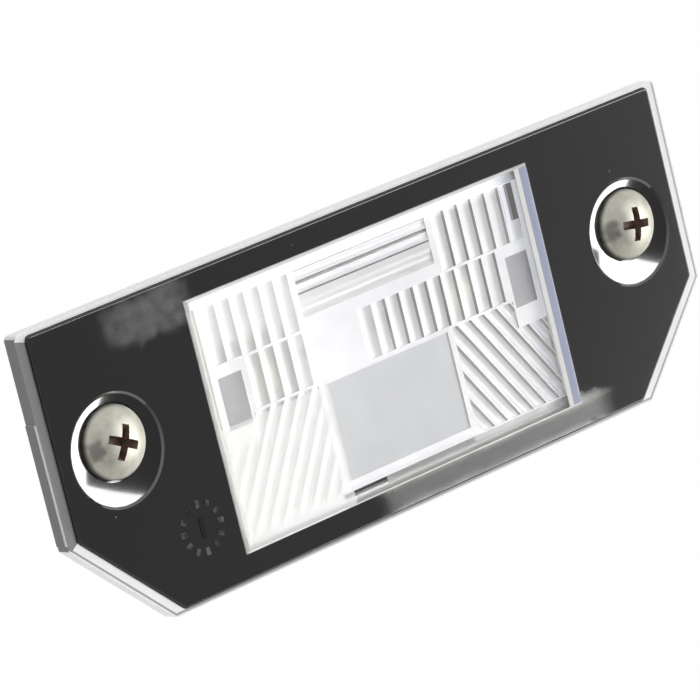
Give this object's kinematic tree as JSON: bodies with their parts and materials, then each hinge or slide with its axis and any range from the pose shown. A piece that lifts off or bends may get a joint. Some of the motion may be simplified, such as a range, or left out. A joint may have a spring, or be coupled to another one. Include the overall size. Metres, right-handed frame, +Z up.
{
  "type": "number plate lamp",
  "caption": "Flat car number plate lamp: a black plate with cut lower corners round a clear fluted window, screws in dished recesses, and a tub behind with bulb and plug socket.",
  "frame": {"origin": "midway between the two fixing screws, on the mounting face at the back of the foam gasket", "axes": "+X along the plate to the right as seen from the front, +Y into the car along the screws, +Z up"},
  "size_m": [0.095, 0.0293, 0.0346],
  "materials": {
    "face_black": "moulded black plastic, polished",
    "lens_clear": "clear moulded polycarbonate, polished with fluted optics",
    "screw_zinc": "bright zinc plated steel",
    "contact_tinned": "tin plated sheet brass",
    "reflector_white": "moulded white plastic, satin",
    "bulb_glass": "clear blown glass",
    "bulb_cap_nickel": "nickel plated brass",
    "tungsten": "drawn tungsten wire",
    "lead_wire": "nickel iron wire",
    "housing_black": "moulded black plastic, fine spark texture",
    "seal_rubber": "moulded rubber, matt",
    "gasket_foam": "die-cut closed-cell foam"
  },
  "bodies": {
    "root": {"bezel": "face_black", "lens": "lens_clear", "mounting_screw_left": "screw_zinc", "mounting_screw_right": "screw_zinc", "contact_spring_left": "contact_tinned", "contact_spring_right": "contact_tinned", "reflector": "reflector_white", "bulb_glass": "bulb_glass", "bulb_cap_left": "bulb_cap_nickel", "bulb_cap_right": "bulb_cap_nickel", "bulb_filament": "tungsten", "bulb_lead_left": "lead_wire", "bulb_lead_right": "lead_wire", "rear_housing": "housing_black", "lens_seal": "seal_rubber", "mounting_gasket": "gasket_foam"}
  },
  "joints": []
}
